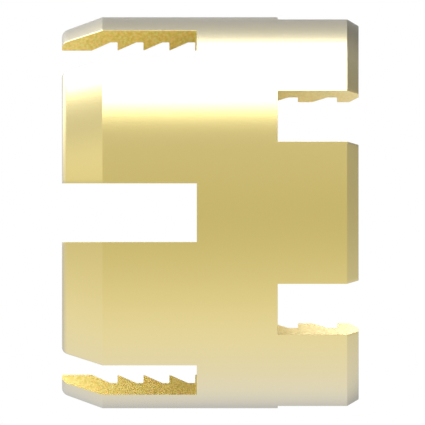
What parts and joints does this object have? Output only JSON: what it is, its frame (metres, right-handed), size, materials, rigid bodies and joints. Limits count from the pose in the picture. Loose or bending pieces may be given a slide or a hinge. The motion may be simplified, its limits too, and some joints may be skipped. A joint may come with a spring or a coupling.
{
  "type": "compression sleeve",
  "caption": "Slotted brass gripping sleeve for a compression pipe fitting, with a tapered nose, a toothed bore and slots cut in from both ends.",
  "frame": {"origin": "centre of the blunt end face, on the bore axis", "axes": "+Z along the bore axis from the blunt end towards the tapered nose; +X through the middle of a slot in the blunt end, +Y through the middle of a slot in the nose"},
  "size_m": [0.029, 0.029, 0.022],
  "materials": {
    "brass": "satin"
  },
  "bodies": {
    "root": {"compression_sleeve": "brass"}
  },
  "joints": []
}
